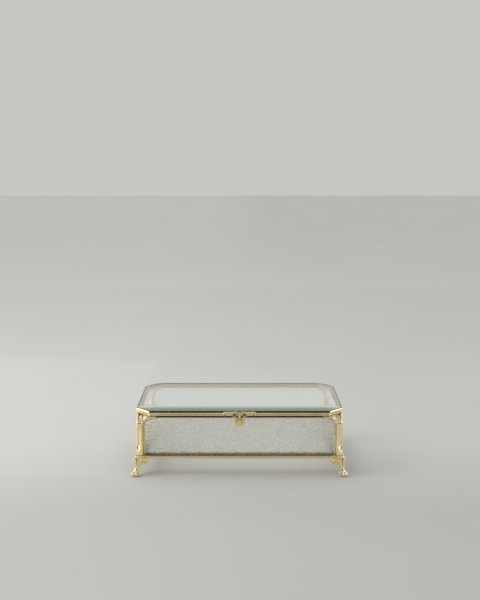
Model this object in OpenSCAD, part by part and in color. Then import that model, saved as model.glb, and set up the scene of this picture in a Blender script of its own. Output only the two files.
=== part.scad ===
// Glass casket box: a brass case on four cast feet, with pebbled glass walls, a clear glass base,
// and a hinged brass lid that holds one bevelled glass plate and a drop pull.
// Millimetres. +Z is up, the front faces -Y, and the origin is on the table, under the middle.
// A corner piece is drawn once, in a frame whose origin is the outer corner of the case and whose
// +X and +Y run inward along the two walls, and then mirrored to its corner.

/* [Case] */
// Width of the brass case over its corner posts
case_w = 220; // [170:1:300]
// Depth of the brass case over its corner posts
case_d = 126; // [100:1:200]
// Height of glass that shows between a base rail and the top rim
pane_show_h = 42.5; // [34:0.5:80]
// How far the rim and the lid are clipped back along each wall at a corner
corner_clip = 15; // [12:0.5:20]

/* [Base rails] */
// Height of the outer face of a base rail
base_h = 2.9; // [2:0.1:5]
// Thickness of the ledge that carries the glass
ledge_t = 1.2; // [0.8:0.1:1.8]
// How far the ledge reaches in under the base glass
ledge_reach = 5; // [3:0.5:9]

/* [Corner posts] */
// Diameter of the two beads that edge a post, and of the arcs that they turn into
bead_d = 2.6; // [2:0.1:3.2]
// How far the flat of a post lies behind its beads
post_recess = 0.2; // [0.1:0.05:0.4]
// Radius of the round that takes off a post's outer corner, from its inner corner
post_round_r = 6.8; // [6:0.1:7.4]
// Radius of the arcs that join a post to the rim, at the middle of the bead
arc_r = 11.3; // [9.5:0.1:13]
// How far the crown of an arc lies above the underside of the rim
arc_lift = 0.3; // [0.1:0.1:2.2]
// How far the post goes on between its two arcs
crotch_h = 7; // [2:0.5:8]
// Radius of the flute that hollows a post's outer corner between its two beads
flute_r = 4.3; // [3.8:0.1:4.5]
// How far the axis of the flute lies in from the outer faces
flute_inset = 0.6; // [0.4:0.1:0.8]
// Plain length of post below the flute
flute_foot = 3.6; // [3:0.2:8]
// Plain length of post between the flute and the arcs
flute_head = 0.6; // [0.4:0.2:5]

/* [Top rim] */
// Height of the top rim
rim_h = 3.6; // [3:0.1:6]
// Bevel along the rim's outer edges
rim_bevel = 0.8; // [0.3:0.1:1.2]

/* [Glass] */
// Thickness of the pebbled wall panes
pane_t = 2.8; // [2:0.1:3.4]
// Thickness of the base glass
base_glass_t = 3; // [2:0.1:4]
// Thickness of the lid glass at its edge
lid_glass_edge_t = 2.2; // [1.8:0.1:3]
// Width of the bevel round the lid glass
bevel_w = 11; // [6:0.5:16]
// How much the bevel rises
bevel_h = 2.2; // [1:0.1:3.5]

/* [Inner glazing] */
// Thickness of the corner angles and the glazing strips behind the panes
angle_t = 1.5; // [1:0.1:2]
// Width of a corner angle's face behind a pane
angle_w = 3.6; // [2.5:0.1:6]
// Height of a glazing strip above the ledge
strip_h = 4.5; // [3.6:0.1:8]

/* [Lid frame] */
// How far each end of the lid stands out past the case
lid_out = 1; // [0:0.1:2]
// Height of the lid frame
lid_h = 2.8; // [2.4:0.1:5]
// Thickness of the lid frame's outer wall
lid_wall = 1.6; // [1.2:0.1:2.4]
// Thickness of the ledge under the lid glass
lid_ledge_t = 1; // [0.8:0.1:1.4]
// How far that ledge reaches in under the glass
lid_ledge_w = 3.4; // [2:0.1:5]

/* [Feet] */
// Height of the base rails above the table
foot_h = 18.7; // [16:0.1:26]
// How far the middle of a toe stands outside the case's corner, along each wall
toe_out = 1.3; // [0.5:0.1:3]
// Radius of a toe at its widest
toe_r = 4.4; // [3.6:0.1:5.2]
// Radius of the flat face under a toe
pad_r = 3; // [2:0.1:3.4]
// Radius of the ankle
ankle_r = 2.2; // [1.8:0.1:3]
// Height of the ankle above the table
ankle_z = 7.6; // [7:0.1:9]
// Radius of the knee
knee_r = 4.2; // [3.4:0.1:4.8]
// Thickness of the leaf wings that lap the base rails
wing_t = 2.4; // [1.6:0.1:3]
// Radius of the volute at the end of a wing
volute_r = 4.6; // [3.5:0.1:5.2]
// Distance from the case's corner to the middle of a volute
volute_x = 9.2; // [8:0.1:12]
// How far the middle of a volute lies below the underside of the base rails
volute_drop = 0.5; // [0:0.1:2]
// Radius of a volute's eye
eye_r = 1.1; // [0.7:0.1:1.6]
// How far the wings rise above the underside of the base rails
wing_rise = 3.6; // [3:0.1:5]

/* [Foot studs] */
// Radius of the stud that holds a foot to its post
stud_r = 0.9; // [0.7:0.05:1]
// Depth of a stud in the foot
stud_in_foot = 5; // [4:0.5:7]
// Depth of a stud in the post, above the base rail
stud_in_post = 3; // [2:0.5:4]

/* [Hinges] */
// Distance between the middles of the two hinges
hinge_span = 124; // [90:1:150]
// Length of one knuckle
knuckle_l = 8; // [5:0.5:12]
// Radius of the knuckles
knuckle_r = 1.8; // [1.5:0.1:2]
// Radius of a hinge pin
hinge_pin_r = 0.8; // [0.6:0.05:1]
// Thickness of the saddle that joins a knuckle to its frame
saddle_t = 1; // [0.8:0.1:1.4]
// Height of that saddle
saddle_h = 2.4; // [2:0.1:2.6]
// Radius of the pin's heads
pin_head_r = 1.3; // [1.2:0.1:1.7]
// Thickness of the pin's heads
pin_head_t = 0.6; // [0.4:0.1:1]

/* [Pull] */
// Overall width of the scroll that carries the drop pull
scroll_w = 34.5; // [28:0.5:44]
// Radius of the scroll's bar
scroll_r = 1.7; // [1.4:0.1:1.9]
// Radius of the scroll's beads
scroll_bead_r = 2.2; // [1.9:0.1:2.4]
// Distance from one bead to the next, counted in from the end of the scroll
bead_pitch = 3.4; // [2.5:0.1:4]
// Radius of the two shells beside the pull
shell_r = 2.4; // [1.8:0.1:2.6]
// Thickness of the shells
shell_t = 1.9; // [1:0.1:2]
// How far a shell's middle lies below the pull's pin
shell_drop = 1.4; // [0.5:0.1:2]
// How far the pull's pin stands in front of the lid frame
pull_out = 2.4; // [2.2:0.1:2.6]
// How far the pull's pin lies above the underside of the lid frame
pull_lift = 1; // [0.6:0.1:1.4]
// Radius of the pull's pin
pull_pin_r = 0.6; // [0.5:0.05:0.8]
// Radius of the pull's barrel
pull_barrel_r = 1.5; // [1.2:0.1:1.7]
// Length of the pull's barrel
pull_barrel_l = 4.4; // [3.5:0.1:6]
// Length of the pull below its pin
pull_l = 15; // [12:0.5:20]
// Width of the pull's leaf
pull_w = 11.6; // [9:0.2:16]
// Thickness of the pull's leaf
pull_t = 1.6; // [1.2:0.1:2]

/* [Clearances] */
// Gap round a glass plate in its frame
glass_clear = 0.2; // [0.1:0.05:0.4]
// Gap between two panes where they meet at a corner
pane_gap = 0.3; // [0.2:0.05:0.5]
// Gap between the lid frame and the rim
lid_gap = 0.1; // [0.05:0.05:0.3]
// Gap between pieces that turn past each other
turn_clear = 0.3; // [0.2:0.05:0.5]
// Radial gap of a pin in the piece that turns on it
running_clear = 0.05; // [0.02:0.01:0.1]
// Radial gap of a pin or stud in the piece that holds it
snug_clear = 0.02; // [0.01:0.01:0.05]

/* [Hidden] */
$fn = 48;
// Facets of the spheres inside a hull
hull_fn = 28;
// Parts that a drawn quarter arc is cut into
arc_steps = 14;
// How far a cutting shape runs past what it cuts
over = 1;
brass = [0.80, 0.66, 0.42];
brass_dark = [0.66, 0.53, 0.32];
pebbled = [0.80, 0.85, 0.82, 0.5];
clear_glass = [0.80, 0.90, 0.86, 0.35];

bead_r = bead_d / 2;
// Depths from the outer face of a wall: pane, corner angle, base glass, ledge
pane_in = bead_d + pane_t;
angle_in = pane_in + angle_t;
plate_in = angle_in + glass_clear;
ledge_in = plate_in + ledge_reach;
// Line of the pane's upright edge, which is also the middle of a post's bead
pane_edge = pane_in + pane_gap;

ledge_z = foot_h + ledge_t;
base_top = foot_h + base_h;
rim_z = base_top + pane_show_h;
rim_top = rim_z + rim_h;
lid_z = rim_top + lid_gap;
lid_glass_z = lid_z + lid_ledge_t;

// The arcs' centre, and the angle at which they meet the underside of the rim
arc_x = pane_edge + arc_r;
arc_z = rim_z + arc_lift - arc_r;
arc_end = asin((rim_z - arc_z) / arc_r);

stud_at = (bead_d + pane_in) / 2;
volute_z = foot_h - volute_drop;
// The knee's middle, a little inside the case's corner
knee_in = knee_r - wing_t;
knee_z = foot_h - knee_r - 1;
// Block under the rails that the foot seats with
seat_w = 8.5;
seat_h = 4;

hinge_y = case_d / 2 + knuckle_r + turn_clear;
hinge_z = rim_top + lid_gap / 2;
pull_y = -case_d / 2 - pull_out;
pull_z = lid_z + pull_lift;
// Back of the leaf, just inside the back of its barrel
leaf_back = pull_y + pull_barrel_r - 0.1;
// Front and thickness of the plate that carries the scroll, and how far it stays inside the lid
// frame's height
scroll_plate_y = pull_y + pull_barrel_r + turn_clear;
scroll_plate_t = -case_d / 2 - scroll_plate_y;
scroll_plate_inset = 0.2;
// Length of the pull's pin in each half of the scroll
pull_pin_grip = 4;

// Carries what is drawn in the corner frame to the corner on side sx (-1 left) and sy (-1 front)
module at_corner(sx, sy) {
    mirror([sx > 0 ? 1 : 0, 0, 0]) mirror([0, sy > 0 ? 1 : 0, 0])
        translate([-case_w / 2, -case_d / 2, 0]) children();
}

// Swaps the two walls of a corner
module other_wall() { mirror([1, -1, 0]) children(); }

// Carries what is drawn along the front wall to the back wall
module to_back() { mirror([0, 1, 0]) children(); }

// Stands a flat shape up as a plate along the front wall, from depth y0 to depth y1
module wall_plate(y0, y1) {
    translate([0, y1, 0]) rotate([90, 0, 0]) linear_extrude(y1 - y0) children();
}

// Outline of the case with clipped corners, moved in by inset all round, then lengthened by out at each end
function clipped(inset, out) =
    let (x = case_w / 2 + out - inset, y = case_d / 2 - inset, c = corner_clip - inset * (2 - sqrt(2)))
    [[-x + c, -y], [x - c, -y], [x, -y + c], [x, y - c],
     [x - c, y], [-x + c, y], [-x, y - c], [-x, -y + c]];

module clipped_plate(inset, z0, z1, out = 0) {
    translate([0, 0, z0]) linear_extrude(z1 - z0) polygon(clipped(inset, out));
}

// Points on an arc about (cx, cz), from angle a0 to angle a1
function arc_points(cx, cz, r, a0, a1) =
    [for (i = [0 : arc_steps]) let (a = a0 + (a1 - a0) * i / arc_steps) [cx + r * cos(a), cz + r * sin(a)]];

// ---------------------------------------------------------------- case

// A bead's arc in the plane of the front wall, cut off at the underside of the rim
module post_arc() {
    difference() {
        translate([arc_x, bead_r, arc_z]) rotate([90, 0, 0]) rotate([0, 0, 90])
            rotate_extrude(angle = 90) translate([arc_r, 0]) circle(bead_r);
        translate([0, -over, rim_z]) cube([arc_x + over, bead_d + 2 * over, bead_d + arc_lift + over]);
    }
}

module post_core_outline() {
    intersection() {
        polygon([[post_recess, post_recess], [pane_edge, post_recess], [pane_edge, bead_d],
                 [pane_in, bead_d], [pane_in, pane_in], [bead_d, pane_in], [bead_d, pane_edge],
                 [post_recess, pane_edge]]);
        translate([pane_edge, pane_edge]) circle(post_round_r);
    }
}

module flute() {
    low = base_top + flute_foot + flute_r;
    high = arc_z - flute_head - flute_r;
    translate([flute_inset, flute_inset, low]) {
        cylinder(r = flute_r, h = high - low);
        sphere(flute_r);
        translate([0, 0, high - low]) sphere(flute_r);
    }
}

module corner_post(sx, sy) {
    color(brass) at_corner(sx, sy) difference() {
        union() {
            difference() {
                translate([0, 0, base_top]) linear_extrude(arc_z + crotch_h - base_top) post_core_outline();
                flute();
            }
            translate([bead_d, bead_d, ledge_z]) cube([pane_t, pane_t, base_h]);
            translate([pane_edge, bead_r, base_top]) cylinder(r = bead_r, h = arc_z - base_top);
            translate([bead_r, pane_edge, base_top]) cylinder(r = bead_r, h = arc_z - base_top);
            post_arc();
            other_wall() post_arc();
        }
        translate([stud_at, stud_at, ledge_z - over])
            cylinder(r = stud_r + snug_clear, h = base_top + stud_in_post - ledge_z + over);
    }
}

// One base rail: an outer wall and a ledge, mitred at both ends, along the front of a case of width w
module base_rail(w, d) {
    color(brass) difference() {
        union() {
            translate([-w / 2, -d / 2, foot_h]) linear_extrude(base_h)
                polygon([[0, 0], [w, 0], [w - bead_d, bead_d], [bead_d, bead_d]]);
            translate([-w / 2, -d / 2, foot_h]) linear_extrude(ledge_t)
                polygon([[0, 0], [w, 0], [w - ledge_in, ledge_in], [ledge_in, ledge_in]]);
        }
        for (s = [-1, 1])
            translate([s * (w / 2 - stud_at), -d / 2 + stud_at, foot_h - over])
                cylinder(r = stud_r + snug_clear, h = ledge_t + 2 * over);
    }
}

module top_rim() {
    color(brass) difference() {
        hull() {
            clipped_plate(rim_bevel, rim_z, rim_top);
            clipped_plate(0, rim_z + rim_bevel, rim_top - rim_bevel);
        }
        clipped_plate(angle_in, rim_z - over, rim_top + over);
    }
}

// A wall pane of a case of width w and depth d, its top corners cut to follow the arcs
module pane(w, d) {
    half = w / 2 - pane_edge;
    left = arc_points(-w / 2 + arc_x, arc_z, arc_r, 180 - arc_end, 180);
    right = arc_points(w / 2 - arc_x, arc_z, arc_r, 0, arc_end);
    color(pebbled) translate([0, -d / 2, 0]) wall_plate(bead_d, pane_in)
        polygon(concat(left, [[-half, ledge_z], [half, ledge_z]], right));
}

// One face of a corner angle, behind the front pane
module angle_face() {
    outer = arc_points(arc_x, arc_z, arc_r, 180, 180 - arc_end);
    inner_r = arc_r - angle_w;
    inner_end = asin(min(1, (rim_z - arc_z) / inner_r));
    inner = arc_points(arc_x, arc_z, inner_r, 180 - inner_end, 180);
    wall_plate(pane_in, angle_in)
        polygon(concat([[pane_in, ledge_z], [pane_in, arc_z], [pane_edge, arc_z]],
                       outer, inner, [[pane_edge + angle_w, ledge_z]]));
}

module corner_angle(sx, sy) {
    color(brass_dark) at_corner(sx, sy) {
        angle_face();
        other_wall() angle_face();
    }
}

// A glazing strip along the foot of the front pane of a case of width w
module glazing_strip(w, d) {
    length = w - 2 * (pane_edge + angle_w + glass_clear);
    color(brass_dark) translate([-length / 2, -d / 2 + pane_in, ledge_z]) cube([length, angle_t, strip_h]);
}

module base_glass() {
    color(clear_glass) translate([-case_w / 2 + plate_in, -case_d / 2 + plate_in, ledge_z])
        cube([case_w - 2 * plate_in, case_d - 2 * plate_in, base_glass_t]);
}

// ---------------------------------------------------------------- feet

// A leaf wing on the outer face of the front rail, ending in a volute with a sunk eye
module wing() {
    difference() {
        union() {
            wall_plate(-wing_t, 0)
                polygon([[-wing_t, volute_z - volute_r], [volute_x, volute_z - volute_r],
                         [volute_x, volute_z + volute_r], [volute_x / 2, foot_h + wing_rise - 0.8],
                         [-wing_t, foot_h + wing_rise]]);
            translate([volute_x, 0, volute_z]) rotate([90, 0, 0]) cylinder(r = volute_r, h = wing_t);
        }
        translate([volute_x, -wing_t / 2, volute_z]) rotate([90, 0, 0]) cylinder(r = eye_r, h = wing_t);
    }
}

// The toe: a low turned knob with a flat pad under it
module toe() {
    translate([-toe_out, -toe_out, 0]) rotate_extrude()
        polygon([[0, 0], [pad_r, 0], [toe_r * 0.93, 1], [toe_r, 2.4], [toe_r * 0.89, 3.8],
                 [ankle_r + 0.2, 5], [0, 5.4]]);
}

module leg() {
    ankle_in = (knee_in - toe_out) / 2;
    hull() {
        translate([-toe_out, -toe_out, 4]) sphere(ankle_r, $fn = hull_fn);
        translate([ankle_in, ankle_in, ankle_z]) sphere(ankle_r, $fn = hull_fn);
    }
    hull() {
        translate([ankle_in, ankle_in, ankle_z]) sphere(ankle_r, $fn = hull_fn);
        translate([knee_in, knee_in, knee_z]) sphere(knee_r, $fn = hull_fn);
    }
}

module foot(sx, sy) {
    color(brass) at_corner(sx, sy) difference() {
        union() {
            toe();
            leg();
            translate([-wing_t / 2, -wing_t / 2, foot_h - seat_h]) cube([seat_w, seat_w, seat_h]);
            wing();
            other_wall() wing();
        }
        translate([stud_at, stud_at, foot_h - stud_in_foot])
            cylinder(r = stud_r + snug_clear, h = stud_in_foot + over);
    }
}

module foot_studs() {
    color(brass_dark) for (sx = [-1, 1], sy = [-1, 1]) at_corner(sx, sy)
        translate([stud_at, stud_at, foot_h - stud_in_foot])
            cylinder(r = stud_r, h = stud_in_foot + base_h + stud_in_post);
}

// ---------------------------------------------------------------- hinges

// A knuckle of the hinge, its saddle reaching to the frame, up for the lid or down for the case
module knuckle(x0, length, up, bore_r) {
    difference() {
        union() {
            translate([x0, hinge_y, hinge_z]) rotate([0, 90, 0]) cylinder(r = knuckle_r, h = length);
            translate([x0, case_d / 2, up ? lid_z : hinge_z - saddle_h]) cube([length, saddle_t, saddle_h]);
        }
        translate([x0 - over, hinge_y, hinge_z]) rotate([0, 90, 0])
            cylinder(r = bore_r, h = length + 2 * over);
    }
}

module hinge_case_knuckles(side) {
    mid = side * hinge_span / 2;
    bore_r = hinge_pin_r + snug_clear;
    color(brass) for (s = [-1, 1])
        knuckle(mid + s * (knuckle_l + turn_clear) - knuckle_l / 2, knuckle_l, false, bore_r);
}

module hinge_lid_knuckle(side) {
    color(brass) knuckle(side * hinge_span / 2 - knuckle_l / 2, knuckle_l, true, hinge_pin_r + running_clear);
}

module hinge_pin(side) {
    reach = 1.5 * knuckle_l + turn_clear;
    color(brass_dark) translate([side * hinge_span / 2, hinge_y, hinge_z]) rotate([0, 90, 0]) {
        translate([0, 0, -reach]) cylinder(r = hinge_pin_r, h = 2 * reach);
        for (s = [-1, 1])
            translate([0, 0, s * (reach + pin_head_t / 2) - pin_head_t / 2])
                cylinder(r = pin_head_r, h = pin_head_t);
    }
}

// ---------------------------------------------------------------- lid

module lid_frame() {
    color(brass) difference() {
        clipped_plate(0, lid_z, lid_z + lid_h, lid_out);
        clipped_plate(lid_wall, lid_glass_z, lid_z + lid_h + over, lid_out);
        clipped_plate(lid_wall + lid_ledge_w, lid_z - over, lid_glass_z + over, lid_out);
    }
}

// The bevelled plate: a thin edge, and a face that rises inside the bevel
module lid_glass() {
    edge = lid_wall + glass_clear;
    color(clear_glass) hull() {
        clipped_plate(edge, lid_glass_z, lid_glass_z + lid_glass_edge_t, lid_out);
        clipped_plate(edge + bevel_w, lid_glass_z, lid_glass_z + lid_glass_edge_t + bevel_h, lid_out);
    }
}

// Profile of the scroll's turned bar, as [radius, distance from the barrel]: plain by the barrel, then
// three beads, the last of which closes it
function scroll_profile(length) =
    let (half = bead_pitch / 2, waist = (scroll_r + scroll_bead_r) / 2)
    concat([[0, 0], [scroll_r, 0]],
           [for (i = [2 : -1 : 0]) let (middle = length - half - i * bead_pitch)
               each [[scroll_r, middle - 0.96 * half], [waist, middle - 0.7 * half],
                     [scroll_bead_r, middle - 0.25 * half], [scroll_bead_r, middle + 0.25 * half],
                     [waist, middle + 0.7 * half]]],
           [[scroll_r / 2, length], [0, length]]);

// Half of the scroll: the beaded bar, a web that backs it, and a shell under it
module scroll_half() {
    inner = pull_barrel_l / 2 + turn_clear;
    length = scroll_w / 2 - inner;
    back_y = scroll_plate_y + scroll_plate_t / 2;
    difference() {
        union() {
            translate([inner, pull_y, pull_z]) rotate([0, 90, 0]) rotate_extrude()
                polygon(scroll_profile(length));
            translate([inner, pull_y, pull_z - scroll_r / 2])
                cube([length - bead_pitch, back_y - pull_y, scroll_r]);
            translate([inner + shell_r, back_y, pull_z - shell_drop]) rotate([90, 0, 0])
                cylinder(r = shell_r, h = shell_t);
        }
        translate([inner - over, pull_y, pull_z]) rotate([0, 90, 0])
            cylinder(r = pull_pin_r + snug_clear, h = pull_pin_grip + over);
    }
}

module pull_scroll() {
    plate_w = scroll_w - bead_pitch;
    color(brass) {
        scroll_half();
        mirror([1, 0, 0]) scroll_half();
        translate([-plate_w / 2, scroll_plate_y, lid_z + scroll_plate_inset])
            cube([plate_w, scroll_plate_t, lid_h - 2 * scroll_plate_inset]);
    }
}

module pull_pin() {
    reach = pull_barrel_l / 2 + turn_clear + pull_pin_grip;
    color(brass_dark) translate([-reach, pull_y, pull_z]) rotate([0, 90, 0])
        cylinder(r = pull_pin_r, h = 2 * reach);
}

// Outline of the pendant leaf: a stem that passes between the shells, then the blade down to its
// point, whose shape is given as fractions of its half width and of its length
module leaf_outline() {
    stem = pull_barrel_l / 2;
    top = shell_drop + shell_r + turn_clear;
    blade = [[0.86, 0.04], [1, 0.24], [0.9, 0.45], [0.5, 0.7], [0.16, 0.9]];
    side = concat([[stem, 0], [stem, -top]],
                  [for (p = blade) [p.x * pull_w / 2, -top - p.y * (pull_l - top)]]);
    polygon(concat(side, [[0, -pull_l]], [for (i = [len(side) - 1 : -1 : 0]) [-side[i].x, side[i].y]]));
}

module drop_pull() {
    barrel_x = -pull_barrel_l / 2;
    color(brass) difference() {
        union() {
            translate([barrel_x, pull_y, pull_z]) rotate([0, 90, 0])
                cylinder(r = pull_barrel_r, h = pull_barrel_l);
            translate([0, leaf_back, pull_z]) rotate([90, 0, 0]) linear_extrude(pull_t) leaf_outline();
        }
        translate([barrel_x - over, pull_y, pull_z]) rotate([0, 90, 0])
            cylinder(r = pull_pin_r + running_clear, h = pull_barrel_l + 2 * over);
    }
}

corner_post(-1, -1);  // front_left_post
corner_post(1, -1);  // front_right_post
corner_post(-1, 1);  // back_left_post
corner_post(1, 1);  // back_right_post
base_rail(case_w, case_d);  // front_base_rail
to_back() base_rail(case_w, case_d);  // back_base_rail
rotate([0, 0, -90]) base_rail(case_d, case_w);  // left_base_rail
rotate([0, 0, 90]) base_rail(case_d, case_w);  // right_base_rail
top_rim();
pane(case_w, case_d);  // front_pane
to_back() pane(case_w, case_d);  // back_pane
rotate([0, 0, -90]) pane(case_d, case_w);  // left_pane
rotate([0, 0, 90]) pane(case_d, case_w);  // right_pane
corner_angle(-1, -1);  // front_left_angle
corner_angle(1, -1);  // front_right_angle
corner_angle(-1, 1);  // back_left_angle
corner_angle(1, 1);  // back_right_angle
glazing_strip(case_w, case_d);  // front_glazing_strip
to_back() glazing_strip(case_w, case_d);  // back_glazing_strip
rotate([0, 0, -90]) glazing_strip(case_d, case_w);  // left_glazing_strip
rotate([0, 0, 90]) glazing_strip(case_d, case_w);  // right_glazing_strip
base_glass();
foot(-1, -1);  // front_left_foot
foot(1, -1);  // front_right_foot
foot(-1, 1);  // back_left_foot
foot(1, 1);  // back_right_foot
foot_studs();
hinge_case_knuckles(-1);  // left_hinge_case_knuckles
hinge_case_knuckles(1);  // right_hinge_case_knuckles
hinge_lid_knuckle(-1);  // left_hinge_lid_knuckle
hinge_lid_knuckle(1);  // right_hinge_lid_knuckle
hinge_pin(-1);  // left_hinge_pin
hinge_pin(1);  // right_hinge_pin
lid_frame();
lid_glass();
pull_scroll();
pull_pin();
drop_pull();
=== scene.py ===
# %% [markdown]
# # A glass casket box
# A casket like this is a small brass case glazed like a lantern. Cast corner posts and rails hold
# pebbled glass walls, four cast feet carry it, and a hinged frame holds one bevelled plate as the lid.
# A shape like this could be modelled by hand or in code. Here each piece is a surface worked out
# with numpy, so that it follows the sizes of the fixed frame that the notebook loads first.

# %% Load the fixed frame
import math

import bmesh
import bpy
import numpy as np
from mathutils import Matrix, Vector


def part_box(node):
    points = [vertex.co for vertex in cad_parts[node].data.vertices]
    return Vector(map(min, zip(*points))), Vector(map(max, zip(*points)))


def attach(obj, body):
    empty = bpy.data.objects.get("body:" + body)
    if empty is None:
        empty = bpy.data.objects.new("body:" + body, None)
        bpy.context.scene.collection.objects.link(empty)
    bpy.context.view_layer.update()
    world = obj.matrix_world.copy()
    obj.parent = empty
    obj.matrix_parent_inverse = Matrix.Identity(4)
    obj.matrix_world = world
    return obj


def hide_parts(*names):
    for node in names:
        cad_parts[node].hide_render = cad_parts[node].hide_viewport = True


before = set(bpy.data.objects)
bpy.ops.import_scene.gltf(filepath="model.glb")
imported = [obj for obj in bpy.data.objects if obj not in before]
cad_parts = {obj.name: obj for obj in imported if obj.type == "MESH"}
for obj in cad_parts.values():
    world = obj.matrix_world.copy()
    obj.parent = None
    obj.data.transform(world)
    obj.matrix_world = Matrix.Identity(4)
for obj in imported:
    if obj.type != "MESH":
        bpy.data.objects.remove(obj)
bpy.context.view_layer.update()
print("frame nodes:", len(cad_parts))

# %% [markdown]
# ## Sizes
# The case's own sizes are read from the frame's boxes, in millimetres, because a maker thinks in
# millimetres. The few sizes that a box can't give, such as the radius of an arc, are named here.

# %% Sizes of the case
MM = 0.001


def box_mm(node):
    """Lowest and highest corner of a node, in millimetres."""
    low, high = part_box(node)
    return np.array(low) / MM, np.array(high) / MM


rail_low, rail_high = box_mm("front_base_rail")
rim_low, rim_high = box_mm("top_rim")
lid_low, lid_high = box_mm("lid_frame")
glass_low, glass_high = box_mm("lid_glass")
HALF_W, HALF_D = rail_high[0], -rail_low[1]
FOOT_H, RAIL_TOP = rail_low[2], rail_high[2]
RIM_Z, RIM_TOP = rim_low[2], rim_high[2]
LID_Z, LID_TOP = lid_low[2], lid_high[2]
CORNER_CLIP = 15.0
LID_OUT = lid_high[0] - HALF_W
print("case, mm:", 2 * HALF_W, 2 * HALF_D, "rim", RIM_Z, RIM_TOP, "lid", LID_Z, LID_TOP)

# %% [markdown]
# ## Surfaces from grids
# A smooth piece of metal is a surface with two parameters: along it and round it. The helpers below
# turn a grid of points into quads, close its ends at a pole, and join several such shells in one mesh.
# Working on whole arrays keeps each shape a formula that can be read.

# %% Grids of points
def grid_quads(rows, cols, wrap_rows, wrap_cols):
    """Quads of a grid: each joins a point to its neighbours in the next row and the next column."""
    row, col = np.meshgrid(
        np.arange(rows if wrap_rows else rows - 1),
        np.arange(cols if wrap_cols else cols - 1),
        indexing="ij",
    )
    next_row, next_col = (row + 1) % rows, (col + 1) % cols
    corners = [
        row * cols + col, row * cols + next_col,
        next_row * cols + next_col, next_row * cols + col,
    ]
    return np.stack(corners, -1).reshape(-1, 4)


def shell(points, wrap_rows=False, wrap_cols=True):
    """A grid of points, rows × columns × 3, as (points, quads)."""
    rows, cols = points.shape[:2]
    return points.reshape(-1, 3), grid_quads(rows, cols, wrap_rows, wrap_cols)


def capped(points):
    """Closes a grid of rings at both ends: the first and last ring shrink to their middle."""
    ends = [np.repeat(points[i].mean(axis=0)[None, None], points.shape[1], axis=1) for i in (0, -1)]
    return np.concatenate([ends[0], points, ends[1]])


def join(*shells):
    """Several shells as one: the quads of each are counted on from the points before it."""
    starts = np.cumsum([0] + [len(points) for points, _ in shells[:-1]])
    return (
        np.concatenate([points for points, _ in shells]),
        np.concatenate([quads + start for (_, quads), start in zip(shells, starts)]),
    )


def moved(part, matrix, shift=(0, 0, 0)):
    """A shell with each point multiplied by a matrix and moved by a shift."""
    return part[0] @ np.array(matrix, float).T + np.array(shift, float), part[1]


# %% [markdown]
# ## Curves and sections
# Cast and turned metal is mostly a section carried along a path. A Bezier curve gives a flowing path
# from a few control points, and the section may swell and taper on the way, as a leaf does.

# %% Paths and sections
def bezier(controls, count):
    """Bezier curve: the control points weighted by the Bernstein polynomials of their number."""
    controls = np.array(controls, float)
    degree = len(controls) - 1
    u = np.linspace(0, 1, count)[:, None]
    k = np.arange(degree + 1)[None]
    weights = np.array([math.comb(degree, int(i)) for i in k[0]]) * u**k * (1 - u) ** (degree - k)
    return weights @ controls


def arc(centre, radius, start, end, count):
    """Arc of an upright circle that faces the front, from one angle in degrees to another."""
    angle = np.radians(np.linspace(start, end, count))
    spokes = np.stack([radius * np.cos(angle), 0 * angle, radius * np.sin(angle)], -1)
    return np.array(centre, float) + spokes


def round_section(count):
    """A circle of radius one."""
    angle = np.linspace(0, 2 * np.pi, count, endpoint=False)
    return np.stack([np.cos(angle), np.sin(angle)], -1)


def leaf_section(count, vein=0.45):
    """Section of a leaf: a half round whose crown dips along the middle vein, on a shallow back."""
    angle = np.linspace(0, 2 * np.pi, count, endpoint=False)
    x, y = np.cos(angle), np.sin(angle)
    crown = np.abs(y) ** 0.8 * (1 - vein * np.exp(-((x / 0.22) ** 2)))
    return np.stack([x, np.where(y > 0, crown, 0.3 * y)], -1)


def carried(path, out, section, width, height=None):
    """A closed section carried along a flat path: point = path + across·width·x + out·height·y."""
    out = np.array(out, float) / np.linalg.norm(out)
    along = np.gradient(path, axis=0)
    across = np.cross(along, out)
    across /= np.linalg.norm(across, axis=1)[:, None]
    width = np.broadcast_to(width, len(path))[:, None, None]
    height = width if height is None else np.broadcast_to(height, len(path))[:, None, None]
    side, rise = section[None, :, :1], section[None, :, 1:]
    rings = path[:, None] + across[:, None] * width * side + out * height * rise
    return shell(capped(rings))


def swelling(count, fullness=0.6, lean=0.8):
    """Width of a leaf from root to tip: the sine of its length, leaned and filled out."""
    u = np.linspace(0.02, 0.985, count)
    return np.sin(np.pi * u**lean) ** fullness


# %% [markdown]
# ## Turned and scrolled forms
# A knob is turned on a lathe: a profile spun round an axis. A volute is the same form seen end on,
# with a spiral channel cut in each face. Both are one function of an angle and a place on the profile.

# %% Lathe and volute
def axes_for(axis):
    """Two unit vectors square to an axis, and the axis itself."""
    axis = np.array(axis, float) / np.linalg.norm(axis)
    helper = np.array([0, 0, 1.0]) if abs(axis[2]) < 0.9 else np.array([1.0, 0, 0])
    first = np.cross(helper, axis)
    first /= np.linalg.norm(first)
    return first, np.cross(axis, first), axis


def spun(centre, axis, profile, count=48):
    """Profile rows of (radius, distance along the axis) spun round the axis."""
    first, second, axis = axes_for(axis)
    angle = np.linspace(0, 2 * np.pi, count, endpoint=False)
    spokes = np.cos(angle)[:, None] * first + np.sin(angle)[:, None] * second
    profile = np.array(profile, float)
    points = np.array(centre, float) + profile[:, None, :1] * spokes[None] + profile[:, None, 1:] * axis
    return shell(capped(points))


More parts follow.
